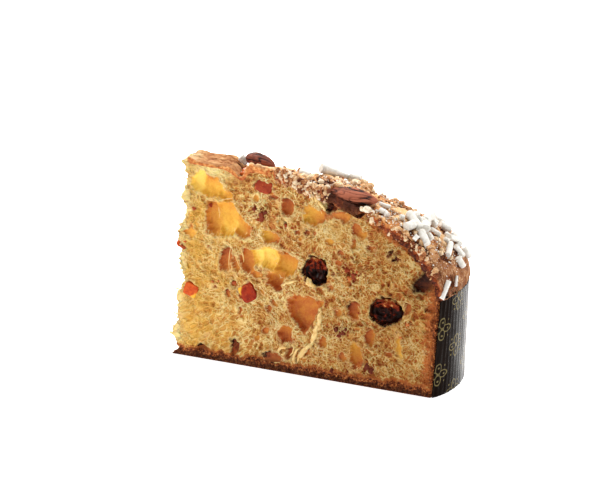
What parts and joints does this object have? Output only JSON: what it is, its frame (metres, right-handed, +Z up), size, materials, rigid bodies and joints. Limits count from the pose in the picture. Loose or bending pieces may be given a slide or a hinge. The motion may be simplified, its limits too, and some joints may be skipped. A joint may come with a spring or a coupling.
{
  "type": "colomba cake slice",
  "caption": "Wedge slice of a domed colomba cake: airy cut crumb with candied fruit, an almond and sugar crust on top and a fluted paper band round the rim.",
  "frame": {"origin": "on the flat underside, near its middle, 90 mm from the thin tip and 20 mm behind the front cut face", "axes": "+X along the front cut face from the thin tip to the paper rim, +Y from the front cut face back into the slice, +Z up"},
  "size_m": [0.1491, 0.0535, 0.106],
  "materials": {
    "crumb": "soft open crumb, golden yellow, browned to rust and dark brown at the underside, rim and crust",
    "glaze": "dry cracked almond glaze, matte tan with darker brown cracks",
    "sugar": "opaque white sugar grains and sticks",
    "almond": "brown almond skin with fine lengthwise wrinkles",
    "cherry": "glossy near-black candied cherry with dark red edges",
    "orange_peel": "moist candied orange peel, reddish orange and slightly translucent",
    "paper": "dark brown satin baking paper with vertical flutes and small pale gold line flowers"
  },
  "bodies": {
    "root": {"crumb": "crumb", "paper_band": "paper", "cherry_left": "cherry", "cherry_right": "cherry", "cherry_rear": "cherry", "orange_peel_top": "orange_peel", "orange_peel_middle": "orange_peel", "orange_peel_left": "orange_peel", "orange_peel_tip": "orange_peel", "orange_peel_rear": "orange_peel", "almond_edge": "almond", "almond_notch": "almond"}
  },
  "joints": []
}
